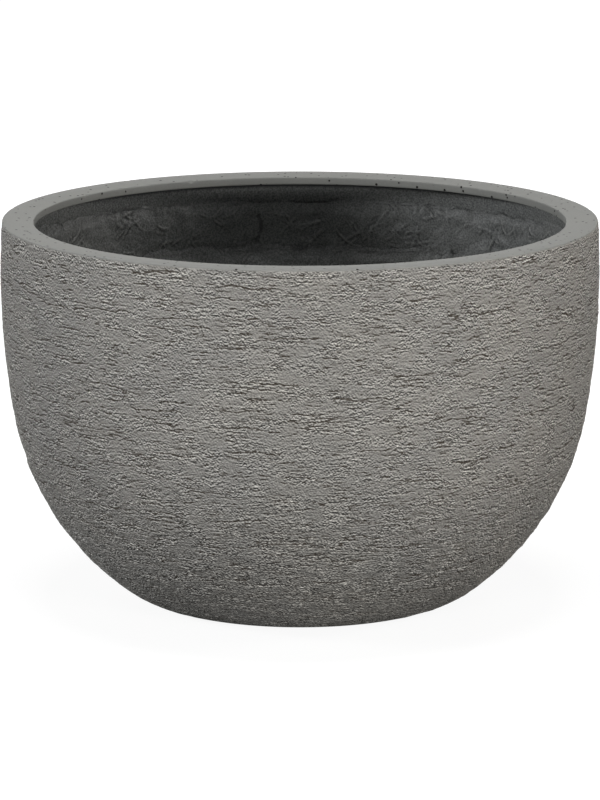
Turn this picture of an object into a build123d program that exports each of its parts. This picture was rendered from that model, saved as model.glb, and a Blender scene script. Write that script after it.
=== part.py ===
"""Egg-shaped floor planter: a cast mortar bowl lined with glass-fibre laminate, on rubber pads, with a drain plug.

Millimetres, +Z up. The origin is on the floor, on the bowl's axis. Sections are drawn in radius and height, and
turned about that axis.
"""

import os

from build123d import *

os.makedirs("parts", exist_ok=True)

# Bowl outline: widest ring, rim, and the rings where one arc of the wall runs into the next
outer_radius = 300.0
height = 388.0
rim_inset = 1.8
belly_drop = 54.0
shoulder_inset = 12.3
shoulder_height = 192.0
heel_inset = 119.0
heel_height = 18.3
foot_radius = 147.0

# Rim: a ring whose lip overhangs the hollow of the bowl; past its flat part it falls a little towards the mouth
rim_width = 31.5
rim_flat = 12.0
rim_fall = 1.2
lip_face = 9.0
lip_root = 6.0
rim_outer_round = 1.2
rim_inner_round = 1.2
lip_lower_round = 1.0

# Cast wall and floor, and the glass-fibre laminate behind them
shell_wall = 8.0
shell_floor = 14.0
band_wall = 3.0
liner_wall = 4.0
band_drop = 20.0
lap_drop = 48.0
lap_width = 40.0
lap_shoulder = 8.0

# Rubber pads let into the underside
pad_count = 4
pad_radius = 18.0
pad_thickness = 5.0
pad_pocket = 3.0
pad_glue_gap = 0.2
pad_edge = 0.8
pad_margin = 42.0

# Drain hole and its plug, whose head lies in a seat below the inner floor
drain_radius = 14.0
seat_radius = 22.5
seat_depth = 9.5
plug_gap = 0.3
plug_head = 7.5
plug_taper = 1.0
plug_recess = 1.5
plug_edge = 0.8
cup_wall = 4.5
cup_depth = 5.0
cup_bar = 6.5

# Rings of the outline
underside = pad_thickness - pad_pocket
rim_radius = outer_radius - rim_inset
mouth_radius = rim_radius - rim_width
belly_height = height - belly_drop
shoulder_radius = outer_radius - shoulder_inset
heel_radius = outer_radius - heel_inset

# Levels of the hollow, from the floor up
cast_floor = underside + shell_floor
inner_floor = cast_floor + liner_wall
lip_level = height - lip_face
band_top = lip_level - band_drop
lap_top = band_top - lap_drop
band_bottom = lap_top - lap_width
band_back = shell_wall + band_wall
pad_circle = foot_radius - pad_margin

# Whole cross-section of the solid egg form, run on straight past the rim so that insets reach the lip
outline_top = height + rim_width
with BuildSketch() as egg:
    with BuildLine():
        widest = (outer_radius, belly_height)
        crown = TangentArc(widest, (rim_radius, height), tangent=(0, 1))
        belly = TangentArc(widest, (shoulder_radius, shoulder_height), tangent=(0, -1))
        flank = TangentArc(belly @ 1, (heel_radius, heel_height), tangent=belly % 1)
        heel = TangentArc(flank @ 1, (foot_radius, underside), tangent=flank % 1)
        Polyline(heel @ 1, (0, underside), (0, outline_top), (rim_radius, outline_top), crown @ 1)
    make_face()
    mirror(about=Plane.YZ)


def inset_section(depth, low, high):
    """Half of the egg form's section between two levels, its wall drawn in by depth."""
    with BuildSketch() as section:
        if depth > 0:
            offset(egg.sketch, amount=-depth, kind=Kind.INTERSECTION, mode=Mode.ADD)
        else:
            add(egg.sketch)
        with Locations((0, low)):
            Rectangle(outer_radius, high - low, align=(Align.MIN, Align.MIN), mode=Mode.INTERSECT)
    return section.sketch


def layer_section(near, far, low, high):
    """Section of a layer of the wall, from depth near to depth far, between two levels."""
    with BuildSketch() as section:
        add(inset_section(near, low, high))
        add(inset_section(far, low, high), mode=Mode.SUBTRACT)
    return section.sketch


def corner(section, radius, level):
    """The section's corner nearest to a radius and level."""
    return section.vertices().sort_by_distance((radius, level))[0]


# Hollow of the cast bowl: the mouth, and the space inside the wall under the sloping lip
with BuildSketch() as hollow:
    add(inset_section(shell_wall, cast_floor, height))
    with BuildLine():
        Polyline(
            (mouth_radius, lip_level),
            (mouth_radius, outline_top),
            (outer_radius, outline_top),
            (outer_radius, lip_level - lip_root),
            close=True,
        )
    make_face(mode=Mode.SUBTRACT)

# Cast bowl: outline less hollow, with the drain hole, its seat and the pad pockets
with BuildPart() as shell:
    with BuildSketch(Plane.XZ) as cast_section:
        add(inset_section(0, underside, height))
        add(hollow.sketch, mode=Mode.SUBTRACT)
        with BuildLine():
            Polyline(
                (mouth_radius, height - rim_fall),
                (mouth_radius, height),
                (rim_radius - rim_flat, height),
                close=True,
            )
        make_face(mode=Mode.SUBTRACT)
        fillet(corner(cast_section, rim_radius, height), radius=rim_outer_round)
        fillet(corner(cast_section, mouth_radius, height - rim_fall), radius=rim_inner_round)
        fillet(corner(cast_section, mouth_radius, lip_level), radius=lip_lower_round)
    revolve(axis=Axis.Z)
    with Locations((0, 0, inner_floor)):
        CounterBoreHole(radius=drain_radius, counter_bore_radius=seat_radius, counter_bore_depth=seat_depth)
    with BuildSketch(Plane.XY.offset(underside)):
        with PolarLocations(pad_circle, pad_count):
            Circle(pad_radius + pad_glue_gap)
    extrude(amount=pad_pocket, mode=Mode.SUBTRACT)
shell.part.label = "shell"
export_step(shell.part, "parts/shell.step")

# Band of glass mat behind the upper wall, bare above the liner's lap
with BuildPart() as upper_laminate:
    with BuildSketch(Plane.XZ):
        add(layer_section(shell_wall, band_back, band_bottom, band_top))
    revolve(axis=Axis.Z)
upper_laminate.part.label = "upper_laminate"
export_step(upper_laminate.part, "parts/upper_laminate.step")

# Liner: glass mat over the floor and up the wall, stepping in at its shoulder to lap over the band
with BuildPart() as bowl_laminate:
    with BuildSketch(Plane.XZ):
        add(inset_section(shell_wall, cast_floor, band_bottom))
        add(inset_section(shell_wall + liner_wall, inner_floor, band_bottom - lap_shoulder), mode=Mode.SUBTRACT)
        add(
            inset_section(band_back + liner_wall, band_bottom - lap_shoulder, band_bottom),
            mode=Mode.SUBTRACT,
        )
        add(layer_section(band_back, band_back + liner_wall, band_bottom, lap_top))
    revolve(axis=Axis.Z)
    with BuildSketch(Plane.XY.offset(cast_floor)):
        Circle(seat_radius)
    extrude(amount=liner_wall, mode=Mode.SUBTRACT)
bowl_laminate.part.label = "bowl_laminate"
export_step(bowl_laminate.part, "parts/bowl_laminate.step")

# Drain plug: a tapered stem under a round head, with a cup in the head and a bar across it to pull by
stem_radius = drain_radius - plug_gap
head_radius = seat_radius - plug_gap
head_bottom = inner_floor - seat_depth + plug_gap
head_top = head_bottom + plug_head
plug_bottom = underside + plug_recess
with BuildPart() as drain_plug:
    with BuildSketch(Plane.XZ):
        with BuildLine():
            Polyline(
                (0, plug_bottom),
                (stem_radius - plug_taper, plug_bottom),
                (stem_radius, head_bottom),
                (head_radius, head_bottom),
                (head_radius, head_top),
                (0, head_top),
                close=True,
            )
        make_face()
    revolve(axis=Axis.Z)
    chamfer(drain_plug.edges().group_by(Axis.Z)[0], length=plug_edge)
    fillet(drain_plug.edges().group_by(Axis.Z)[-1], radius=plug_edge)
    with BuildSketch(Plane.XY.offset(head_top)):
        Circle(head_radius - cup_wall)
        Rectangle(2 * head_radius, cup_bar, mode=Mode.SUBTRACT)
    extrude(amount=-cup_depth, mode=Mode.SUBTRACT)
drain_plug.part.label = "drain_plug"
export_step(drain_plug.part, "parts/drain_plug.step")

# Floor pads, standing out of their pockets by the height of the underside
for number, place in enumerate(PolarLocations(pad_circle, pad_count), start=1):
    with BuildPart() as floor_pad:
        with BuildSketch():
            with Locations(place):
                Circle(pad_radius)
        extrude(amount=pad_thickness)
        chamfer(floor_pad.edges().group_by(Axis.Z)[0], length=pad_edge)
    floor_pad.part.label = f"floor_pad_{number}"
    export_step(floor_pad.part, f"parts/floor_pad_{number}.step")
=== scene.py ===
"""Looks of the egg-shaped planter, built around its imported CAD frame.

Lengths are in millimetres until they reach a mesh, and in metres in the materials, the camera and the lamps.
"""

import math

import bpy
import numpy as np
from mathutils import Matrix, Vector


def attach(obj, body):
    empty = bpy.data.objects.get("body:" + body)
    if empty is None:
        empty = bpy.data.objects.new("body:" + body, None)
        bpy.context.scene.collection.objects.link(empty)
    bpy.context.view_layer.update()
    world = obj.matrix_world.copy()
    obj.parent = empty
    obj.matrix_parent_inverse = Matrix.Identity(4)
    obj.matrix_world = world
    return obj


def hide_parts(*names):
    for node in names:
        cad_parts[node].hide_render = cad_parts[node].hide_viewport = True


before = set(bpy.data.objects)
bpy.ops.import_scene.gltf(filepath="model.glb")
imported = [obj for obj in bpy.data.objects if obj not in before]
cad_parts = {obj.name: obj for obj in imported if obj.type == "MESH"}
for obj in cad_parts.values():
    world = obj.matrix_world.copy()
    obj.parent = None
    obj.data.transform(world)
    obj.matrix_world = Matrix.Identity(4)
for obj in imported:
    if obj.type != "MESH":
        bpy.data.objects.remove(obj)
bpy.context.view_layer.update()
MM = 0.001

# Outline and walls, as the CAD has them
OUTER_RADIUS, HEIGHT, RIM_INSET, BELLY_DROP = 300.0, 388.0, 1.8, 54.0
SHOULDER = (287.7, 192.0)
HEEL = (181.0, 18.3)
FOOT_RADIUS, UNDERSIDE = 147.0, 2.0
RIM_WIDTH, RIM_FLAT, RIM_FALL, LIP_FACE, LIP_ROOT = 31.5, 12.0, 1.2, 9.0, 6.0
SHELL_WALL, BAND_WALL, LINER_WALL = 8.0, 3.0, 4.0
CAST_FLOOR, INNER_FLOOR = 16.0, 20.0
BAND_TOP, LAP_TOP, BAND_BOTTOM = 359.0, 311.0, 271.0
DRAIN_RADIUS, SEAT_RADIUS, SEAT_LEVEL = 14.0, 22.5, 10.5
PAD_CIRCLE, POCKET_RADIUS, POCKET_DEPTH = 105.0, 18.2, 3.0
RIM_RADIUS = OUTER_RADIUS - RIM_INSET
MOUTH_RADIUS = RIM_RADIUS - RIM_WIDTH
LIP_LEVEL = HEIGHT - LIP_FACE
MEAN_RADIUS = 285.0  # of the walls, where a grid takes its columns to be evenly spaced


# ---------------------------------------------------------------- camera
CAMERA_DISTANCE = 6.0
CAMERA_ELEVATION = math.radians(11.30)
CAMERA_TARGET = Vector((0.0, 0.0, 0.2023))
LONG_SIDE_PIXELS, SENSOR = 800, 36.0
FOCAL_PIXELS = 5952.0

camera_data = bpy.data.cameras.new("camera")
camera = bpy.data.objects.new("camera", camera_data)
bpy.context.scene.collection.objects.link(camera)
camera_data.sensor_width = SENSOR
camera_data.lens = FOCAL_PIXELS * SENSOR / LONG_SIDE_PIXELS
camera_data.clip_end = 100.0
back = Vector((0.0, -math.cos(CAMERA_ELEVATION), math.sin(CAMERA_ELEVATION)))
camera.location = CAMERA_TARGET + back * CAMERA_DISTANCE
camera.rotation_mode = "QUATERNION"
camera.rotation_quaternion = (-back).to_track_quat("-Z", "Y")
bpy.context.scene.camera = camera
bpy.context.scene.view_settings.view_transform = "Standard"


# ---------------------------------------------------------------- node helpers
def new_material(name):
    """A material with an empty tree, its output node, and a Principled shader joined to it."""
    material = bpy.data.materials.new(name)
    material.use_nodes = True
    tree = material.node_tree
    tree.nodes.clear()
    output = tree.nodes.new("ShaderNodeOutputMaterial")
    shader = tree.nodes.new("ShaderNodeBsdfPrincipled")
    tree.links.new(shader.outputs["BSDF"], output.inputs["Surface"])
    return material, tree, shader


def link(tree, source, target):
    tree.links.new(source, target)


def object_coords(tree, scale=(1, 1, 1), rise=0.0):
    """Object coordinates in metres, stretched by scale and raised by rise."""
    coords = tree.nodes.new("ShaderNodeTexCoord")
    mapping = tree.nodes.new("ShaderNodeMapping")
    mapping.inputs["Scale"].default_value = scale
    mapping.inputs["Location"].default_value = (0, 0, rise)
    link(tree, coords.outputs["Object"], mapping.inputs["Vector"])
    return mapping.outputs["Vector"]


def noise(tree, vector, scale, detail, roughness=0.5):
    node = tree.nodes.new("ShaderNodeTexNoise")
    node.inputs["Scale"].default_value = scale
    node.inputs["Detail"].default_value = detail
    node.inputs["Roughness"].default_value = roughness
    link(tree, vector, node.inputs["Vector"])
    return node.outputs["Fac"]


def ramp(tree, value, low, high, to_low=0.0, to_high=1.0):
    """A clamped linear map of value from [low, high] to [to_low, to_high]."""
    node = tree.nodes.new("ShaderNodeMapRange")
    node.inputs["From Min"].default_value = low
    node.inputs["From Max"].default_value = high
    node.inputs["To Min"].default_value = to_low
    node.inputs["To Max"].default_value = to_high
    link(tree, value, node.inputs["Value"])
    return node.outputs["Result"]


def mix(tree, factor, a, b, blend="MIX"):
    """Colour a mixed with b. Each of factor, a and b is a socket or a plain value."""
    node = tree.nodes.new("ShaderNodeMix")
    node.data_type = "RGBA"
    node.blend_type = blend
    for socket, value in ((node.inputs[0], factor), (node.inputs[6], a), (node.inputs[7], b)):
        if isinstance(value, bpy.types.NodeSocket):
            link(tree, value, socket)
        elif isinstance(value, (int, float)):
            socket.default_value = value
        else:
            socket.default_value = (*value, 1.0)
    return node.outputs[2]


def math_node(tree, operation, a, b):
    """The outcome of an operation on a and b, each a socket or a number."""
    node = tree.nodes.new("ShaderNodeMath")
    node.operation = operation
    for socket, value in zip(node.inputs, (a, b)):
        if isinstance(value, bpy.types.NodeSocket):
            link(tree, value, socket)
        else:
            socket.default_value = value
    return node.outputs[0]


def attribute(tree, name):
    node = tree.nodes.new("ShaderNodeAttribute")
    node.attribute_name = name
    return node.outputs["Fac"]


def bump(tree, height, distance, strength, before=None):
    """A normal bent by height, on top of the normal before where one is given."""
    node = tree.nodes.new("ShaderNodeBump")
    node.inputs["Distance"].default_value = distance
    node.inputs["Strength"].default_value = strength
    link(tree, height, node.inputs["Height"])
    if before is not None:
        link(tree, before, node.inputs["Normal"])
    return node.outputs["Normal"]


def background_rays(tree):
    """1 for the rays that should find a white background: from the camera, in reflections and through glass."""
    paths = tree.nodes.new("ShaderNodeLightPath")
    seen = math_node(tree, "ADD", paths.outputs["Is Camera Ray"], paths.outputs["Is Glossy Ray"])
    seen = math_node(tree, "ADD", seen, paths.outputs["Is Transmission Ray"])
    seen.node.use_clamp = True
    return seen


# ---------------------------------------------------------------- outline
def tangent_arc(start, tangent, end, step):
    """Points and outward normals along the arc from start, along tangent, to end, and its tangent there."""
    start, end, tangent = (np.array(v, float) for v in (start, end, tangent))
    tangent = tangent / np.linalg.norm(tangent)
    side = np.array([-tangent[1], tangent[0]])
    chord = end - start
    radius = chord @ chord / (2 * chord @ side)  # negative where the arc turns right
    centre = start + radius * side
    first = math.atan2(*(start - centre)[::-1])
    last = math.atan2(*(end - centre)[::-1])
    count = max(2, int(round(abs(last - first) * abs(radius) / step)))
    angles = np.linspace(first, last, count + 1)
    out = np.stack([np.cos(angles), np.sin(angles)], 1)
    end_tangent = np.array([-out[-1][1], out[-1][0]]) * math.copysign(1.0, radius)
    return centre + abs(radius) * out, out, end_tangent


def egg_wall(step):
    """Points and outward normals down the outline from the rim's level to the foot, at about the step given."""
    widest = (OUTER_RADIUS, HEIGHT - BELLY_DROP)
    crown, crown_out, _ = tangent_arc(widest, (0, 1), (RIM_RADIUS, HEIGHT), step)
    belly, belly_out, tangent = tangent_arc(widest, (0, -1), SHOULDER, step)
    flank, flank_out, tangent = tangent_arc(SHOULDER, tangent, HEEL, step)
    heel, heel_out, _ = tangent_arc(HEEL, tangent, (FOOT_RADIUS, UNDERSIDE), step)
    points = np.concatenate([crown[::-1], belly[1:], flank[1:], heel[1:]])
    outs = np.concatenate([crown_out[::-1], belly_out[1:], flank_out[1:], heel_out[1:]])
    return points, outs


def inset_wall(depth, step, top, bottom):
    """Points and outward normals of the wall at a depth inside the outline, from level top down to level bottom."""
    points, outs = egg_wall(step)
    points = points - depth * outs
    if top > points[0, 1]:  # the outline runs straight on past the rim
        extra = points[0] + (top - points[0, 1]) * np.array([0.0, 1.0])
        points, outs = np.vstack([extra, points]), np.vstack([outs[0], outs])
    level = points[:, 1]
    run = np.concatenate([[0], np.cumsum(np.hypot(*np.diff(points, axis=0).T))])
    first = np.interp(-top, -level, run)
    last = np.interp(-bottom, -level, run)
    at = np.linspace(first, last, max(2, int(round((last - first) / step))) + 1)
    found = np.stack([np.interp(at, run, points[:, 0]), np.interp(at, run, points[:, 1])], 1)
    normals = np.stack([np.interp(at, run, outs[:, 0]), np.interp(at, run, outs[:, 1])], 1)
    return found, normals / np.linalg.norm(normals, axis=1)[:, None]


def straight(start, end, step):
    """Points from start to end, both included."""
    start, end = np.array(start, float), np.array(end, float)
    count = max(1, int(round(np.linalg.norm(end - start) / step)))
    return start + (end - start) * np.linspace(0, 1, count + 1)[:, None]


def rounded(corner, before, after, radius, count=4):
    """Points of the arc that rounds a corner off, between the directions towards before and after."""
    corner, before, after = (np.array(v, float) for v in (corner, before, after))
    a = (before - corner) / np.linalg.norm(before - corner)
    b = (after - corner) / np.linalg.norm(after - corner)
    half = math.acos(np.clip(a @ b, -1, 1)) / 2
    reach = radius / math.tan(half)
    t = np.linspace(0, 1, count + 1)[:, None]
    weight = math.sin(half)
    share = (1 - t) ** 2 + 2 * weight * t * (1 - t) + t**2
    ends = (1 - t) ** 2 * (corner + a * reach) + t**2 * (corner + b * reach)
    return (ends + 2 * weight * t * (1 - t) * corner) / share


# ---------------------------------------------------------------- noise on a ring-shaped grid
def band_noise(rng, rows, cols, row_step, col_step, length, stretch, spread=0.35):
    """Noise of unit spread, seamless round the ring, whose waves are about length high and stretch times as wide."""
    white = np.fft.rfft2(rng.standard_normal((rows, cols)))
    up = np.abs(np.fft.fftfreq(rows, row_step))[:, None]
    along = np.fft.rfftfreq(cols, col_step)[None, :] * stretch
    frequency = np.hypot(up, along) * length
    gain = np.exp(-((np.log(np.maximum(frequency, 1e-6)) / spread) ** 2) / 2)
    field = np.fft.irfft2(white * gain, s=(rows, cols))
    return field / field.std()


def shifted(field, shift_rows):
    """field with each value taken shift_rows rows further down, in between rows where needed."""
    rows = field.shape[0]
    at = np.clip(np.arange(rows)[:, None] + shift_rows, 0, rows - 1.001)
    low = at.astype(int)
    part = at - low
    return np.take_along_axis(field, low, 0) * (1 - part) + np.take_along_axis(field, low + 1, 0) * part


def smooth(x, low, high):
    """x eased from 0 at low to 1 at high."""
    t = np.clip((x - low) / (high - low), 0, 1)
    return t * t * (3 - 2 * t)


# ---------------------------------------------------------------- ring meshes
MAP_GAP = 0.004  # between the strips of the bake's map
MAP_SHORTEST_ROW = 0.3


def ring_object(name, points, regions, materials, fields):
    """A closed mesh from a grid of points (rows, columns, 3) in millimetres, joined round in both directions.

    regions lists (first row, material index, share of the map's height per millimetre), in row order. Each region is
    unrolled into two strips of the bake's map, one for each half of the ring. fields are point attributes by name.
    """
    rows, cols = points.shape[:2]
    mesh = bpy.data.meshes.new(name)
    mesh.vertices.add(rows * cols)
    mesh.vertices.foreach_set("co", (points * MM).astype(np.float32).ravel())
    i, j = np.meshgrid(np.arange(rows), np.arange(cols), indexing="ij")
    i1, j1 = (i + 1) % rows, (j + 1) % cols
    corners = np.stack([i * cols + j, i1 * cols + j, i1 * cols + j1, i * cols + j1], -1).reshape(-1, 4)
    count = rows * cols
    mesh.loops.add(4 * count)
    mesh.loops.foreach_set("vertex_index", corners.astype(np.int32).ravel())
    mesh.polygons.add(count)
    mesh.polygons.foreach_set("loop_start", np.arange(0, 4 * count, 4, dtype=np.int32))
    mesh.polygons.foreach_set("use_smooth", np.ones(count, dtype=bool))
    slots = np.zeros(rows, dtype=np.int32)
    starts = [r[0] for r in regions] + [rows]
    mean_profile = np.stack([np.hypot(points[..., 0], points[..., 1]).mean(1), points[..., 2].mean(1)], 1)
    lengths = np.hypot(*np.diff(mean_profile, axis=0, append=0).T)
    lengths[-1] = np.linalg.norm(points[0, 0] - points[-1, 0])
    weights = np.zeros(rows)
    for (first, slot, weight), last in zip(regions, starts[1:]):
        slots[first:last] = slot
        weights[first:last] = np.maximum(lengths[first:last], MAP_SHORTEST_ROW) * weight
    mesh.polygons.foreach_set("material_index", np.repeat(slots, cols))
    scale = (1 - MAP_GAP * (2 * len(regions) + 1)) / (2 * weights.sum())
    low = np.zeros((rows, 2))
    high = np.zeros((rows, 2))
    v = MAP_GAP
    for first, last in zip(starts, starts[1:]):
        tall = np.concatenate([[0], np.cumsum(weights[first:last])]) * scale
        for half in range(2):
            low[first:last, half] = v + tall[:-1]
            high[first:last, half] = v + tall[1:]
            v += tall[-1] + MAP_GAP
    middle = cols // 2
    half = (j >= middle).astype(int)
    u0 = MAP_GAP + (1 - 2 * MAP_GAP) * (j - half * middle) / middle
    u1 = MAP_GAP + (1 - 2 * MAP_GAP) * (j + 1 - half * middle) / middle
    v0, v1 = low[i, half], high[i, half]
    uv = np.stack([u0, v0, u0, v1, u1, v1, u1, v0], -1)
    layer = mesh.uv_layers.new(name="OFBake")
    layer.data.foreach_set("uv", uv.astype(np.float32).ravel())
    for label, values in fields.items():
        field = mesh.attributes.new(label, "FLOAT", "POINT")
        field.data.foreach_set("value", values.astype(np.float32).ravel())
    for material in materials:
        mesh.materials.append(material)
    mesh.update(calc_edges=True)
    obj = bpy.data.objects.new(name, mesh)
    bpy.context.scene.collection.objects.link(obj)
    return obj


def ring_points(profile, normals, columns, lift):
    """Grid of points round the axis from a profile of (radius, level), moved out along its normals by lift."""
    angle = np.arange(columns) * 2 * math.pi / columns
    radius = profile[:, 0:1] + normals[:, 0:1] * lift
    level = profile[:, 1:2] + normals[:, 1:2] * lift
    return np.stack([radius * np.sin(angle), -radius * np.cos(angle), level + 0 * angle], -1)


def profile_normals(profile):
    """Normals to the left of a closed profile's direction of travel."""
    ahead = np.roll(profile, -1, 0) - np.roll(profile, 1, 0)
    ahead /= np.maximum(np.linalg.norm(ahead, axis=1), 1e-9)[:, None]
    return np.stack([-ahead[:, 1], ahead[:, 0]], 1)


# ---------------------------------------------------------------- combed wall relief
WALL_SEED = 20250
COLUMNS = 1560
WALL_STEP = 0.55
WALL_START = 1.2  # below the rim's level, where its outer round ends
SLOPE = 0.52  # spread of the combing's slopes where its strength is 1
LOWER_WALL = (330, 430)  # distances down the wall between which the combing grows fainter
TEAR_TRIES, CRACK_COUNT, PIT_COUNT = 20000, 330, 2200


def comb_field(rng, rows, cols, row_step, col_step, tall, spread, narrow, wide):
    """Height of a dragged surface whose slopes have unit spread, with waves about tall high and anything from narrow to
    wide long, and how far each point is up a crest or down a hollow. Seamless round the ring."""
    white = np.fft.rfft2(rng.standard_normal((rows, cols)))
    up = np.fft.fftfreq(rows, row_step)[:, None]
    along = np.fft.rfftfreq(cols, col_step)[None, :]
    size = np.maximum(np.abs(up), 1e-6)
    gain = np.exp(-((np.log(size * tall) / spread) ** 2) / 2) / np.sqrt(size)
    gain = gain / np.sqrt(along + 1 / wide) * np.exp(-((along * narrow) ** 2))
    turn = 1j * np.where(up == 0, 1, up)
    slope = np.fft.irfft2(white * gain, s=(rows, cols))
    level = np.fft.irfft2(white * gain / (2 * math.pi * turn) * (up != 0), s=(rows, cols))
    crest = np.fft.irfft2(white * gain * np.abs(up) / turn, s=(rows, cols))
    return level / slope.std(), crest / slope.std()


def wall_relief(rows, row_step, radius):
    """Height of the combed wall over its smooth form, and at each point how dark its grooves are painted (brown stain
    and painted shade), its painted light and shade, and its roughness.
    """
    rng = np.random.default_rng(WALL_SEED)
    col_step = 2 * math.pi * MEAN_RADIUS / COLUMNS

    def layer(length, stretch, spread=0.35):
        return band_noise(rng, rows, COLUMNS, row_step, col_step, length, stretch, spread)

    sway = (layer(46, 1.6) * 1.1 + layer(16, 2.0) * 0.22) / row_step  # how far the comb wandered
    level, crest = comb_field(rng, rows, COLUMNS, row_step, col_step, 2.3, 0.52, 0.8, 110)
    level, crest = shifted(level, sway), shifted(crest, sway)
    tears = shifted(layer(3.1, 4.2), sway)
    swell = layer(34, 2.4, 0.5)
    patch = smooth(layer(26, 1.8, 0.4), -1.7, 1.3)  # 0 where the wall is smoothest
    cluster = smooth(layer(24, 2.2, 0.4), -1.4, 1.6)  # 1 where tears crowd together

    depth_down = np.arange(rows)[:, None] * row_step
    fade = 1 - 0.45 * smooth(depth_down, *LOWER_WALL)
    strength = (0.38 + 0.82 * patch) * fade

    height = SLOPE * level * strength
    torn = np.clip(tears - (1.6 - 0.65 * cluster), 0, 1.2)
    height -= 0.6 * torn**0.8 * strength
    height += 0.25 * swell

    cut, burr, dark, light = (np.zeros((rows, COLUMNS)) for _ in range(4))
    column_width = 2 * math.pi * radius / COLUMNS
    reach = np.arange(-int(3.2 / row_step), int(4.6 / row_step) + 1)  # rows that a tear can touch

    def tear(row, column, length, width, deep, slope, rough):
        """One tear left by the comb: a cut with a sharp upper edge, and a burr pushed up along its lower edge. Its dark
        is painted shade under the upper edge, and its light a painted highlight on the burr.
        """
        count = max(3, int(length / column_width[min(int(row), rows - 1)]))
        steps = rng.standard_normal(count + 2)
        width = width * (0.55 + 0.5 * np.abs(steps[:-2] + steps[1:-1] + steps[2:])[:, None].clip(0, 2))
        walk = np.cumsum(0.3 * steps[:-2] + 0.4 * steps[1:-1] + 0.3 * steps[2:]) * rough
        walk -= np.linspace(0, walk[-1], count)
        path = row * row_step + walk + slope * np.linspace(0, length, count)
        along = np.linspace(0, 1, count)
        taper = np.clip(np.minimum(along, 1 - along) * 6, 0.15, 1) * (0.6 + 0.4 * np.abs(steps[:count]).clip(0, 1))
        taper = taper[:, None] + 0 * reach
        width = width + 0 * reach
        near = np.round(path / row_step).astype(int)[:, None] + reach
        off = near * row_step - path[:, None]
        at = ((int(column) + np.arange(count)) % COLUMNS)[:, None] + 0 * near
        ok = (near >= 4) & (near < rows - 6)
        near, at = near[ok], at[ok]
        # dark is painted shade in the cut, set towards its sharp upper edge; light is a painted highlight along the
        # burr beneath
        for field, value in (
            (cut, deep * taper * np.clip(1 - (off / width) ** 2, 0, 1)),
            (burr, 0.42 * deep * taper * np.exp(-(((off - width - 0.45) / 0.7) ** 2))),
            (dark, np.minimum(1, 1.5 * deep) * taper * np.clip(1.15 - np.abs((off + 0.25) / width) ** 2, 0, 1)),
            (light, np.minimum(1, 1.5 * deep) * taper * np.exp(-(((off - width - 0.25) / 0.6) ** 2))),
        ):
            np.maximum.at(field, (near, at), value[ok])

    for _ in range(TEAR_TRIES):
        row, column = rng.uniform(6, rows - 10), rng.uniform(0, COLUMNS)
        if rng.uniform() < 0.2 + 0.8 * cluster[int(row), int(column)]:
            length, width, deep = rng.lognormal(2.15, 0.55), rng.uniform(0.5, 0.8), rng.uniform(0.2, 0.75)
            tear(row, column, length, width, deep, rng.normal(0, 0.05), 0.3)
    for _ in range(CRACK_COUNT):
        row, column = rng.uniform(8, rows - 40), rng.uniform(0, COLUMNS)
        length, width, deep = rng.uniform(18, 75), rng.uniform(0.5, 0.8), rng.uniform(0.7, 1.3)
        tear(row, column, length, width, deep, rng.normal(0, 0.035), 0.42)
    # Pits are cut and painted dark: painted shade inside each pit
    for _ in range(PIT_COUNT):
        row, column = int(rng.uniform(8, rows - 8)), int(rng.uniform(0, COLUMNS))
        deep, wide = rng.uniform(0.5, 1.1), rng.uniform(0.7, 1.2)
        for di in range(-2, 3):
            round_off = max(0.0, 1 - (di * row_step / wide) ** 2)
            cut[row + di, column] = max(cut[row + di, column], deep * round_off)
            dark[row + di, column] = max(dark[row + di, column], round_off)

    worn = (1 - 0.4 * smooth(depth_down, *LOWER_WALL)) * smooth(depth_down, 0.0, 1.4)
    worn = worn * (1 - smooth(depth_down, rows * row_step - 14, rows * row_step - 3))
    height = (height - cut + burr) * worn
    # How dark the grooves are painted: a brown stain, and painted shade in the tears, torn patches and pits
    groove_stain_and_shade = np.clip((torn * 0.3 * strength + dark) * worn, 0, 1)
    # Painted light and shade of the relief: lighter on the crests and on the lit lower edges of the tears, darker in
    # the hollows, tears, torn patches and pits
    painted_light_and_shade = (0.24 * crest * strength + 0.55 * light - 0.7 * dark - 0.2 * torn * strength) * worn
    # The painted light and shade keeps its fine detail and loses its broad waves, so that the wall's mean colour is
    # even
    up = np.abs(np.fft.fftfreq(rows, row_step))[:, None]
    along = np.fft.rfftfreq(COLUMNS, col_step)[None, :]
    keep = (0.3 + 0.7 * (1 - np.exp(-((up * 6.5) ** 2)))) * (1 + 0.7 * (1 - np.exp(-((up * 2.6) ** 2))))
    keep = keep * (1 + 0.5 * (1 - np.exp(-((along * 5) ** 2))))
    painted_light_and_shade = np.fft.irfft2(np.fft.rfft2(painted_light_and_shade) * keep, s=painted_light_and_shade.shape)
    # Darker towards the bottom: painted shade of the lower wall, which faces down
    painted_light_and_shade = np.clip(1 + painted_light_and_shade, 0.25, 1.9) * (1 - 0.13 * smooth(depth_down, 140, 330))
    return height, groove_stain_and_shade, painted_light_and_shade, strength * worn


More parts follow.
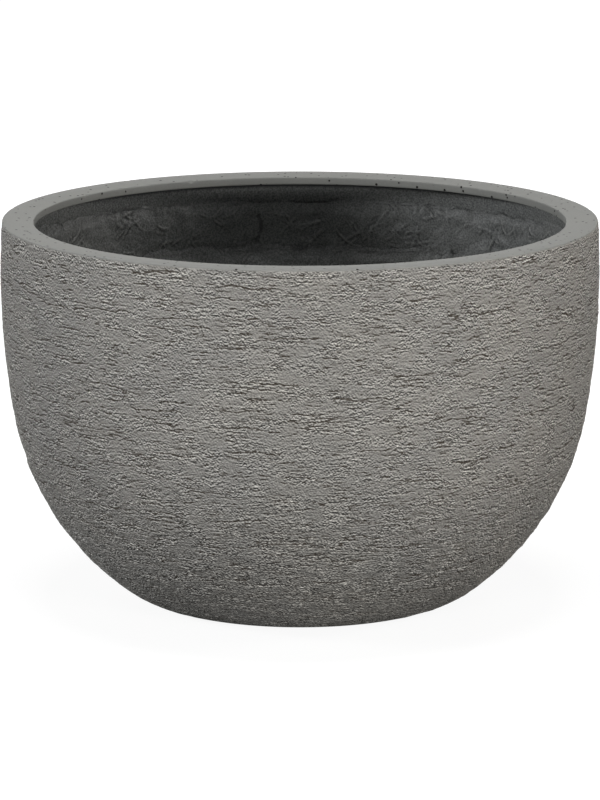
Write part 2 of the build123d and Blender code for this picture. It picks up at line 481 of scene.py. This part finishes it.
# ---------------------------------------------------------------- cast shell
def shell_profile():
    """The cast bowl's profile as (radius, level) rows, from under the rim's outer edge down the wall, in along the
    underside, up the drain hole, out and up inside, and back over the rim. Returns it with each region's first row and
    the wall's outward normals."""
    wall, wall_out = inset_wall(0, WALL_STEP, HEIGHT - WALL_START, UNDERSIDE)
    parts, starts = [], []

    def add(points):
        starts.append(sum(len(p) for p in parts))
        parts.append(points)

    add(wall)
    add(np.vstack([straight((FOOT_RADIUS - 1.5, UNDERSIDE), (PAD_CIRCLE + 22, UNDERSIDE), 4),
                   straight((PAD_CIRCLE + 20.5, UNDERSIDE), (PAD_CIRCLE - 20.5, UNDERSIDE), 1.05),
                   straight((PAD_CIRCLE - 24, UNDERSIDE), (DRAIN_RADIUS + 2, UNDERSIDE), 6),
                   [(DRAIN_RADIUS + 0.8, UNDERSIDE)]]))
    add(np.vstack([rounded((DRAIN_RADIUS, UNDERSIDE), (60, UNDERSIDE), (DRAIN_RADIUS, 8), 0.5, 2),
                   rounded((DRAIN_RADIUS, SEAT_LEVEL), (DRAIN_RADIUS, 2), (60, SEAT_LEVEL), 0.4, 2),
                   rounded((SEAT_RADIUS, SEAT_LEVEL), (0, SEAT_LEVEL), (SEAT_RADIUS, 16), 0.3, 2),
                   rounded((SEAT_RADIUS, CAST_FLOOR), (SEAT_RADIUS, 10), (60, CAST_FLOOR), 0.4, 2)]))
    inner, _ = inset_wall(SHELL_WALL, 5.0, BAND_TOP - 6, CAST_FLOOR)
    add(np.vstack([straight((SEAT_RADIUS + 8, CAST_FLOOR), (inner[-1][0] - 6, CAST_FLOOR), 12), inner[::-1]]))
    slope = LIP_ROOT / (OUTER_RADIUS - MOUTH_RADIUS)
    root, _ = inset_wall(SHELL_WALL, 1.5, LIP_LEVEL - 5.0, BAND_TOP - 4.5)
    under = (root[0][0], LIP_LEVEL - slope * (root[0][0] - MOUTH_RADIUS))
    lip_low, lip_top = (MOUTH_RADIUS, LIP_LEVEL), (MOUTH_RADIUS, HEIGHT - RIM_FALL)
    flat = (RIM_RADIUS - RIM_FLAT, HEIGHT)
    root = root[root[:, 1] < under[1] - 2.4]
    corner = rounded(under, (under[0], 300), lip_low, 1.6, 4)
    lower = rounded(lip_low, under, lip_top, 1.0, 4)
    add(np.vstack([root[::-1], corner, straight(corner[-1], lower[0], 1.8)[1:-1]]))
    upper = rounded(lip_top, lip_low, flat, 1.2, 5)
    add(np.vstack([lower, straight(lower[-1], upper[0], 1.0)[1:-1]]))
    edge = rounded((RIM_RADIUS, HEIGHT), flat, (RIM_RADIUS, HEIGHT - 20), 1.2, 5)
    add(np.vstack([upper, straight(upper[-1], flat, 1.3)[1:-1], straight(flat, edge[0], 1.3)[:-1], edge[:-1]]))
    return np.vstack(parts), starts, wall_out


profile, starts, wall_out = shell_profile()
wall_at, underside_at, drain_at, inside_at, lip_under_at, lip_face_at, rim_at = starts
wall = slice(wall_at, underside_at)
normals = profile_normals(profile)
normals[wall] = wall_out
lift, groove_stain_and_shade = np.zeros((2, len(profile), COLUMNS))
painted_light_and_shade, rough = np.ones((2, len(profile), COLUMNS))
lift[wall], groove_stain_and_shade[wall], painted_light_and_shade[wall], rough[wall] = wall_relief(underside_at, WALL_STEP, profile[wall, 0])

# Small chips out of the rim's two edges, as (angle, row, width, depth). The first is a large one on the far side
CHIP_SEED, CHIP_COUNT = 9, 26
rng = np.random.default_rng(CHIP_SEED)
inner_edge, outer_edge = rim_at + 2, len(profile) - 3
chips = [(math.pi + 0.439, inner_edge, 2.2, 1.3)]
for _ in range(CHIP_COUNT):
    angle = rng.uniform(0, 2 * math.pi)
    row = inner_edge if rng.uniform() < 0.6 else outer_edge
    chips.append((angle, row, rng.uniform(0.8, 1.8), rng.uniform(0.3, 0.8)))
for angle, row, wide, deep in chips:
    off = (np.arange(COLUMNS) / COLUMNS * 2 * math.pi - angle + math.pi) % (2 * math.pi) - math.pi
    along = off * profile[row, 0]
    down = np.hypot(*(profile[lip_face_at:] - profile[row]).T)[:, None]
    lift[lip_face_at:] -= deep * np.exp(-((along / wide) ** 2) - (down / (0.7 * wide)) ** 2)
points = ring_points(profile, normals, COLUMNS, lift)

# Pockets of the pads: points inside each circle go up, and those beside it move onto it
POCKET_REACH, POCKET_EDGE = 0.9, 0.04  # how near a point is moved from, and half the thickness of the pocket's wall
for quarter in range(4):
    turn = quarter * math.pi / 2
    centre = np.array([PAD_CIRCLE * math.cos(turn), PAD_CIRCLE * math.sin(turn)])
    flat = points[underside_at:drain_at]
    off = flat[..., :2] - centre
    away = np.hypot(off[..., 0], off[..., 1])
    inside = away < POCKET_RADIUS
    near_in = inside & (away > POCKET_RADIUS - POCKET_REACH)
    near_out = ~inside & (away < POCKET_RADIUS + POCKET_REACH)
    for chosen, radius in ((near_in, POCKET_RADIUS - POCKET_EDGE), (near_out, POCKET_RADIUS + POCKET_EDGE)):
        flat[..., :2][chosen] = centre + off[chosen] / away[chosen][:, None] * radius
    flat[..., 2][inside] = UNDERSIDE + POCKET_DEPTH


# ---------------------------------------------------------------- materials
MORTAR_SPECULAR, COAT_SPECULAR = 0.08, 0.42
# Painted shadow of the lip on the coat
LIP_PAINTED_SHADOW = (0.3710, 0.3738)  # levels in metres over which the coat darkens under the lip


def painted_lit_noise(tree, stretch, scale, rise):
    """Noise less the same noise a little higher up: specks painted with a lit side and a shaded side, as by light from
    above. Also the noise alone.
    """
    here = noise(tree, object_coords(tree, (stretch, stretch, 1.0)), scale, 0.0)
    above = noise(tree, object_coords(tree, (stretch, stretch, 1.0), rise), scale, 0.0)
    return math_node(tree, "SUBTRACT", here, above), here


def wall_material():
    """Warm grey mortar, near-black brown in the grooves as stain and painted shade, with the relief's painted light and
    shade and painted lit specks, strongest where the wall is rough.
    """
    material, tree, shader = new_material("combed_mortar")
    even = object_coords(tree)
    blotch = noise(tree, even, 14.0, 3.0, 0.6)
    fine, fine_level = painted_lit_noise(tree, 0.75, 680.0, 0.0012)
    coarse, _ = painted_lit_noise(tree, 0.3, 400.0, 0.0020)
    # fine and coarse are painted light and shade on small specks, besides the bump from fine_level
    painted_noise_light = math_node(tree, "ADD", math_node(tree, "MULTIPLY", fine, 2.5), math_node(tree, "MULTIPLY", coarse, 0.9))
    painted_noise_light = math_node(tree, "MULTIPLY", painted_noise_light, attribute(tree, "rough"))
    # The relief's painted light and shade, with the painted lit specks added, multiplied into the colour
    painted_light_and_shade = math_node(tree, "ADD", attribute(tree, "painted_light_and_shade"), painted_noise_light)
    painted_light_and_shade = math_node(tree, "MAXIMUM", painted_light_and_shade, 0.2)
    base = mix(tree, ramp(tree, blotch, 0.3, 0.7), (0.244, 0.238, 0.226), (0.272, 0.262, 0.243))
    base = mix(tree, 1.0, base, painted_light_and_shade, "MULTIPLY")
    # Near-black brown in the grooves: partly stain, partly painted shade
    base = mix(tree, ramp(tree, attribute(tree, "groove_stain_and_shade"), 0.0, 0.8, 0.0, 0.88), base, (0.050, 0.040, 0.031))
    link(tree, base, shader.inputs["Base Color"])
    link(tree, ramp(tree, attribute(tree, "groove_stain_and_shade"), 0.0, 0.6, 0.85, 0.97), shader.inputs["Roughness"])
    shader.inputs["Specular IOR Level"].default_value = MORTAR_SPECULAR
    link(tree, bump(tree, fine_level, 0.0022, 0.9), shader.inputs["Normal"])
    return material


def rim_material():
    """Smooth grey mortar with pinholes painted near-black: painted shade in the holes, which a bump sinks."""
    material, tree, shader = new_material("smooth_mortar")
    even = object_coords(tree)
    blotch = noise(tree, even, 22.0, 4.0, 0.6)
    fine = noise(tree, even, 420.0, 3.0, 0.55)
    cells = tree.nodes.new("ShaderNodeTexVoronoi")
    cells.inputs["Scale"].default_value = 125.0
    link(tree, even, cells.inputs["Vector"])
    keep = noise(tree, even, 61.0, 1.0, 0.5)
    hole = ramp(tree, cells.outputs["Distance"], 0.175, 0.15)
    hole = math_node(tree, "MULTIPLY", hole, ramp(tree, keep, 0.43, 0.46))
    base = mix(tree, ramp(tree, blotch, 0.3, 0.7), (0.188, 0.190, 0.180), (0.208, 0.209, 0.196))
    base = mix(tree, ramp(tree, fine, 0.3, 0.7, 0.0, 0.3), base, (0.24, 0.24, 0.228))
    # Painted shade: the pinholes near-black
    base = mix(tree, hole, base, (0.022, 0.020, 0.018))
    link(tree, base, shader.inputs["Base Color"])
    link(tree, ramp(tree, blotch, 0.2, 0.8, 0.78, 0.9), shader.inputs["Roughness"])
    shader.inputs["Specular IOR Level"].default_value = MORTAR_SPECULAR
    sunk = math_node(tree, "MULTIPLY", hole, -1.0)
    normal = bump(tree, fine, 0.0003, 0.35)
    normal = bump(tree, sunk, 0.0012, 0.8, normal)
    link(tree, normal, shader.inputs["Normal"])
    return material


def coat_material():
    """Dark sealing coat over the glass mat, with a painted highlight on the strands, painted shade beside them and in
    the cracks, and a painted shadow under the lip.
    """
    material, tree, shader = new_material("dark_coat")
    even = object_coords(tree)
    blotch = noise(tree, even, 9.0, 4.0, 0.6)
    fine = noise(tree, even, 560.0, 1.0, 0.6)
    coarse = noise(tree, even, 150.0, 3.0, 0.6)
    painted_strand_shading = attribute(tree, "painted_strand_shading")
    base = mix(tree, ramp(tree, blotch, 0.3, 0.7), (0.138, 0.144, 0.141), (0.174, 0.178, 0.170))
    base = mix(tree, ramp(tree, fine, 0.50, 0.32, 0.0, 0.75), base, (0.06, 0.063, 0.063))
    base = mix(tree, ramp(tree, fine, 0.50, 0.68, 0.0, 0.55), base, (0.28, 0.282, 0.272))
    # Painted highlight on the strands, and painted shade beside them and in the cracks
    base = mix(tree, ramp(tree, painted_strand_shading, 0.05, 0.55, 0.0, 0.75), base, (0.31, 0.31, 0.292))
    base = mix(tree, ramp(tree, painted_strand_shading, -0.04, -0.38, 0.0, 0.9), base, (0.018, 0.019, 0.019))
    place = tree.nodes.new("ShaderNodeSeparateXYZ")
    link(tree, even, place.inputs[0])
    # Painted shadow: near-black just under the lip
    base = mix(tree, ramp(tree, place.outputs["Z"], *LIP_PAINTED_SHADOW, 0.0, 0.9), base, (0.008, 0.008, 0.009))
    link(tree, base, shader.inputs["Base Color"])
    link(tree, ramp(tree, blotch, 0.2, 0.8, 0.44, 0.58), shader.inputs["Roughness"])
    shader.inputs["Specular IOR Level"].default_value = COAT_SPECULAR
    normal = bump(tree, fine, 0.0005, 0.6)
    link(tree, bump(tree, coarse, 0.0008, 0.4, normal), shader.inputs["Normal"])
    return material


COAT = coat_material()
shell_materials = [wall_material(), rim_material(), COAT]
WALL_SLOT, RIM_SLOT, COAT_SLOT = range(3)
shell_regions = [
    (wall_at, WALL_SLOT, 1.0),
    (underside_at, WALL_SLOT, 0.25),
    (drain_at, COAT_SLOT, 0.5),
    (inside_at, COAT_SLOT, 0.06),
    (lip_under_at, COAT_SLOT, 1.0),
    (lip_face_at, RIM_SLOT, 1.0),
    (rim_at, RIM_SLOT, 1.0),
]
shell_fields = {"groove_stain_and_shade": groove_stain_and_shade, "painted_light_and_shade": painted_light_and_shade, "rough": rough}
shell = ring_object("cast_bowl", points, shell_regions, shell_materials, shell_fields)
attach(shell, "bowl")
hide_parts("shell")

# ---------------------------------------------------------------- glass-mat laminates
MAT_COLUMNS = 1320
STRAND_STEPS = 44  # points, 1 mm apart, of a strand's course, which each strand leaves part of unused
SHEET_SIZE = 360  # side of the square sheet of mat on the floor


def strands(rng, rows, columns, count, row_step, column_steps, low, high, spread=0.35):
    """Height from 0 to 1 of chopped strands strewn over a grid. column_steps is the columns' spacing in each row, count
    how many there are, low and high the range of their heights, and spread how much their directions vary."""
    row0 = rng.uniform(0, rows, count)
    col0 = rng.uniform(0, columns, count)
    lean = -0.75 + 0.55 * np.sin(col0 * 14 * math.pi / columns + rng.uniform(0, 6)) + rng.normal(0, spread, count)
    course = lean[:, None] + rng.normal(0, 0.04, count)[:, None] * np.arange(STRAND_STEPS)
    course += np.cumsum(rng.normal(0, 0.05, (count, STRAND_STEPS)), 1)
    length = rng.uniform(0.25, 0.9, count)[:, None] * STRAND_STEPS
    row = row0[:, None] + np.cumsum(np.sin(course), 1) / row_step
    ring = column_steps[np.clip(row0, 0, rows - 1).astype(int)][:, None]
    col = col0[:, None] + np.cumsum(np.cos(course), 1) / ring
    size = rng.uniform(low, high, count)[:, None] * (np.arange(STRAND_STEPS) < length)
    field = np.zeros((rows, columns))
    wide = rng.uniform(0.6, 0.95, count)[:, None]
    for di in range(-1, 2):
        for dj in range(-1, 2):
            i, j = np.round(row).astype(int) + di, np.round(col).astype(int) + dj
            away = ((i - row) * row_step) ** 2 + ((j - col) * ring) ** 2
            value = size * np.exp(-away / wide**2)
            ok = (i >= 0) & (i < rows) & (value > 0.02)
            np.maximum.at(field, (i[ok], j[ok] % columns), value[ok])
    return field


def split(field, angle, first, last, deep, rng, wander=0.5):
    """Cut a wandering crack of the given depth down the grid at an angle, between two rows."""
    at = np.arange(first, last)
    walk = np.cumsum(rng.normal(0, wander, len(at)))
    col = angle / (2 * math.pi) * MAT_COLUMNS + walk
    for dj, part in ((-1, 0.5), (0, 1.0), (1, 0.5)):
        field[at, (np.round(col).astype(int) + dj) % MAT_COLUMNS] -= deep * part * rng.uniform(0.4, 1.0, len(at))


def mat_relief(rng, rows, row_step, radii):
    """Height of the resin-soaked mat, and how far each point is up on a strand, or below zero beside one: the coat
    paints this as a highlight on the strands and shade beside them.
    """
    area = rows * row_step * 2 * math.pi * radii.mean()
    column_steps = 2 * math.pi * radii / MAT_COLUMNS
    ring_step = column_steps.mean()

    def layer(length, stretch):
        return band_noise(rng, rows, MAT_COLUMNS, row_step, ring_step, length, stretch, 0.5)

    ridges = strands(rng, rows, MAT_COLUMNS, int(area / 190), row_step, column_steps, 0.35, 1.0)
    ridges = ridges + 0.6 * strands(rng, rows, MAT_COLUMNS, int(area / 260), row_step, column_steps, 0.4, 1.0, 1.2)
    pooled = smooth(layer(52, 1.4), -0.5, 0.9)
    ridges *= 0.12 + 0.88 * pooled
    height = 1.4 * ridges + 0.30 * layer(30, 1.3) + 0.07 * layer(5, 1.2)
    beside = np.roll(ridges, 2, 0) + np.roll(ridges, -2, 0) + np.roll(ridges, 2, 1) + np.roll(ridges, -2, 1)
    return height, ridges - 0.3 * beside


def floor_sheet(rng, points):
    """The mat's relief, and its strands for the painted highlight, at points of the flat floor, from a square sheet
    laid over it.
    """
    size = SHEET_SIZE
    sheet = strands(rng, size, size, size * size // 220, 1.0, np.ones(size), 0.3, 1.0, 3.0)
    swell = band_noise(rng, size, size, 1.0, 1.0, 30, 1.0, 0.5)
    i = np.clip(points[..., 0] + size / 2, 0, size - 1).astype(int)
    j = np.clip(points[..., 1] + size / 2, 0, size - 1).astype(int)
    return 0.4 * sheet[i, j] + 0.25 * swell[i, j], 0.4 * sheet[i, j]


def torn_edge(rng, size):
    """How far the mat's torn edge is from its mean level, round the ring, in millimetres."""
    white = np.fft.rfft(rng.standard_normal(MAT_COLUMNS))
    wave = np.fft.rfftfreq(MAT_COLUMNS, 2 * math.pi * MEAN_RADIUS / MAT_COLUMNS)
    line = np.fft.irfft(white / (wave + 0.012) * np.exp(-((wave * 4) ** 2)) * (wave > 0.003), MAT_COLUMNS)
    return size * line / line.std()


def laminate(name, node, profile, face, ragged, feather, seed, cracks=()):
    """A laminate as a closed ring that takes the place of a node.

    face is the range of its rows seen from inside, ragged how uneven its top edge is, feather how much thinner the mat
    gets there, and cracks a list of (angle, lowest level, highest level, depth).
    """
    rng = np.random.default_rng(seed)
    normals = profile_normals(profile)
    lift = np.zeros((len(profile), MAT_COLUMNS))
    painted_strand_shading = np.zeros((len(profile), MAT_COLUMNS))
    rows = slice(*face)
    step = np.hypot(*np.diff(profile[rows], axis=0).T).mean()
    lift[rows], painted_strand_shading[rows] = mat_relief(rng, face[1] - face[0], step, profile[rows, 0])
    flat = (profile[:, 1] == INNER_FLOOR) & (np.arange(len(profile)) >= face[0])
    if flat.any():
        lift[flat], painted_strand_shading[flat] = floor_sheet(rng, ring_points(profile[flat], normals[flat], MAT_COLUMNS, 0.0))
    for angle, low, high, deep in cracks:
        levels = profile[rows, 1]
        # The crack is also painted dark: painted shade in it
        for field, size in ((lift, deep), (painted_strand_shading, 1.2)):
            again = np.random.default_rng(seed + 1)
            split(field[rows], angle, np.argmax(levels > low), np.argmax(levels > high), size, again)
    span = np.arange(face[1] - face[0])[:, None]
    fade = smooth(span, 0, 3) * (1 - smooth(span, span[-1] - 3, span[-1]))
    lift[rows] *= fade
    painted_strand_shading[rows] *= fade
    top = profile[:, 1].max()
    thin = smooth(profile[rows, 1], top - 16, top)[:, None] * (0.75 + 0.25 * np.tanh(torn_edge(rng, 1.0)))
    lift[rows] = lift[rows] * (1 - 0.7 * thin) - feather * thin
    points = ring_points(profile, normals, MAT_COLUMNS, lift)
    points[..., 2] += smooth(profile[:, 1], top - 22, top)[:, None] * torn_edge(rng, ragged)
    obj = ring_object(name, points, [(0, 0, 0.05), (face[0], 0, 1.0), (face[1], 0, 0.2)], [COAT], {"painted_strand_shading": painted_strand_shading})
    obj.data.set_sharp_from_angle(angle=math.radians(60))
    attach(obj, "bowl")
    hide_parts(node)


BACK_STEP, FACE_STEP = 8.0, 1.3  # rows behind a mat, and rows on its face
back_face, _ = inset_wall(SHELL_WALL, BACK_STEP, BAND_TOP - 0.8, BAND_BOTTOM + 0.5)
front_face, _ = inset_wall(SHELL_WALL + BAND_WALL, FACE_STEP, BAND_TOP - 1.0, BAND_BOTTOM + 0.5)
band_bottom = np.array([[back_face[-1][0] - 1.0, BAND_BOTTOM], [front_face[-1][0] + 1.0, BAND_BOTTOM]])
band_top = np.array([[back_face[0][0] - 0.35, BAND_TOP - 0.2]])
band_profile = np.vstack([back_face, band_bottom, front_face[::-1], band_top])
first = len(back_face) + len(band_bottom)
band_face = (first, first + len(front_face))
far_crack = (math.pi + 0.165, 312, 345, 0.9)
laminate("band_mat", "upper_laminate", band_profile, band_face, 0.9, 2.6, 61, [far_crack])

lap_back, _ = inset_wall(SHELL_WALL + BAND_WALL, BACK_STEP, LAP_TOP - 0.8, BAND_BOTTOM)
liner_back, _ = inset_wall(SHELL_WALL, BACK_STEP, BAND_BOTTOM - 0.5, CAST_FLOOR)
liner_face, _ = inset_wall(SHELL_WALL + LINER_WALL, 1.4, BAND_BOTTOM - 9.5, INNER_FLOOR + 1.2)
lap_face, _ = inset_wall(SHELL_WALL + BAND_WALL + LINER_WALL, FACE_STEP, LAP_TOP - 1.2, BAND_BOTTOM - 4.5)
floor_face = straight((SEAT_RADIUS + 0.4, INNER_FLOOR), (liner_face[-1][0] - 1.6, INNER_FLOOR), 2.4)
liner_hidden = np.vstack([
    lap_back, [(liner_back[0][0] - 1.0, BAND_BOTTOM)], liner_back[:-1],
    straight((liner_back[-1][0] - 2.0, CAST_FLOOR), (SEAT_RADIUS + 6, CAST_FLOOR), 12),
    [(SEAT_RADIUS + 0.1, CAST_FLOOR), (SEAT_RADIUS, CAST_FLOOR + 0.6), (SEAT_RADIUS, INNER_FLOOR - 0.5)],
])
liner_profile = np.vstack([
    liner_hidden, floor_face, liner_face[::-1],
    straight(liner_face[0], lap_face[-1], FACE_STEP)[1:-1], lap_face[::-1],
    [(lap_back[0][0] - 0.4, LAP_TOP - 0.2)],
])
laminate("liner_mat", "bowl_laminate", liner_profile, (len(liner_hidden), len(liner_profile) - 1), 1.6, 3.1, 77)


# ---------------------------------------------------------------- rubber plug and pads
def rubber_material(name, colour):
    """Matt rubber with a little dust on it."""
    material, tree, shader = new_material(name)
    even = object_coords(tree)
    fine = noise(tree, even, 900.0, 3.0, 0.6)
    dust = noise(tree, even, 60.0, 3.0, 0.6)
    base = mix(tree, ramp(tree, dust, 0.45, 0.75, 0.0, 0.5), colour, tuple(2.2 * c for c in colour))
    link(tree, base, shader.inputs["Base Color"])
    link(tree, ramp(tree, dust, 0.3, 0.7, 0.5, 0.7), shader.inputs["Roughness"])
    link(tree, bump(tree, fine, 0.0002, 0.5), shader.inputs["Normal"])
    return material


PLUG_RUBBER = rubber_material("plug_rubber", (0.03, 0.03, 0.03))
PAD_RUBBER = rubber_material("pad_rubber", (0.045, 0.045, 0.045))
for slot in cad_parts["drain_plug"].material_slots:
    slot.material = PLUG_RUBBER
for number in range(1, 5):
    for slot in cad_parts[f"floor_pad_{number}"].material_slots:
        slot.material = PAD_RUBBER


# ---------------------------------------------------------------- floor, world and lamps
FLOOR_HALF = 30.0
AMBIENT = 0.025
LAMP_AIM = Vector((0, 0, 0.2))


def floor_material():
    """White to the camera with the object's shadow on it, and dark to the object."""
    material, tree, _ = new_material("studio_floor")
    tree.nodes.clear()
    output = tree.nodes.new("ShaderNodeOutputMaterial")
    seen = background_rays(tree)
    coords = tree.nodes.new("ShaderNodeTexCoord")
    distance = tree.nodes.new("ShaderNodeVectorMath")
    distance.operation = "LENGTH"
    link(tree, coords.outputs["Object"], distance.inputs[0])
    own = ramp(tree, distance.outputs["Value"], 0.35, 1.0, 0.90, 1.05)
    shade = tree.nodes.new("ShaderNodeBsdfDiffuse")
    link(tree, mix(tree, seen, (0.03, 0.03, 0.03), (0.16, 0.16, 0.16)), shade.inputs["Color"])
    glow = tree.nodes.new("ShaderNodeEmission")
    link(tree, math_node(tree, "MULTIPLY", seen, own), glow.inputs["Strength"])
    both = tree.nodes.new("ShaderNodeAddShader")
    link(tree, shade.outputs[0], both.inputs[0])
    link(tree, glow.outputs[0], both.inputs[1])
    link(tree, both.outputs[0], output.inputs["Surface"])
    return material


floor_mesh = bpy.data.meshes.new("floor")
floor_corners = [(x * FLOOR_HALF, y * FLOOR_HALF, 0) for x, y in ((-1, -1), (1, -1), (1, 1), (-1, 1))]
floor_mesh.from_pydata(floor_corners, [], [(0, 1, 2, 3)])
floor = bpy.data.objects.new("floor", floor_mesh)
floor_mesh.materials.append(floor_material())
bpy.context.scene.collection.objects.link(floor)

world = bpy.data.worlds.new("studio")
world.use_nodes = True
bpy.context.scene.world = world
tree = world.node_tree
tree.nodes.clear()
output = tree.nodes.new("ShaderNodeOutputWorld")
background = tree.nodes.new("ShaderNodeBackground")
link(tree, ramp(tree, background_rays(tree), 0.0, 1.0, AMBIENT, 1.0), background.inputs["Strength"])
link(tree, background.outputs[0], output.inputs["Surface"])


def lamp(name, azimuth, elevation, distance, width, height, irradiance, colour=(1, 1, 1)):
    """A soft rectangular lamp aimed at the object. Azimuth 0 is the camera's side and 90 the right.

    irradiance is what a surface facing it at the aim receives, in units at which a white surface renders as 1.
    """
    a, e = math.radians(azimuth), math.radians(elevation)
    way = Vector((math.sin(a) * math.cos(e), -math.cos(a) * math.cos(e), math.sin(e)))
    data = bpy.data.lights.new(name, "AREA")
    data.shape = "RECTANGLE"
    data.size, data.size_y = width, height
    data.energy = irradiance * math.pi**2 * distance**2
    data.color = colour
    obj = bpy.data.objects.new(name, data)
    obj.location = LAMP_AIM + way * distance
    obj.rotation_mode = "QUATERNION"
    obj.rotation_quaternion = (-way).to_track_quat("-Z", "Y")
    obj.visible_camera = False
    bpy.context.scene.collection.objects.link(obj)
    return obj


lamp("front_left", -22, 6.1, 1.9, 0.7, 0.13, 0.41, (0.985, 1.0, 1.01))
lamp("front_right", 32, 6.0, 1.9, 0.7, 0.13, 0.54, (1.0, 0.985, 0.955))
lamp("top", 0, 86, 3.0, 1.6, 0.5, 0.86)
lamp("left", -85, 18, 3.0, 0.8, 0.6, 0.42, (0.96, 0.98, 1.0))
lamp("right", 92, 18, 3.0, 0.8, 0.6, 0.25, (1.0, 0.98, 0.95))
lamp("back", 180, 10, 3.6, 2.4, 0.6, 0.35).data.specular_factor = 0.25
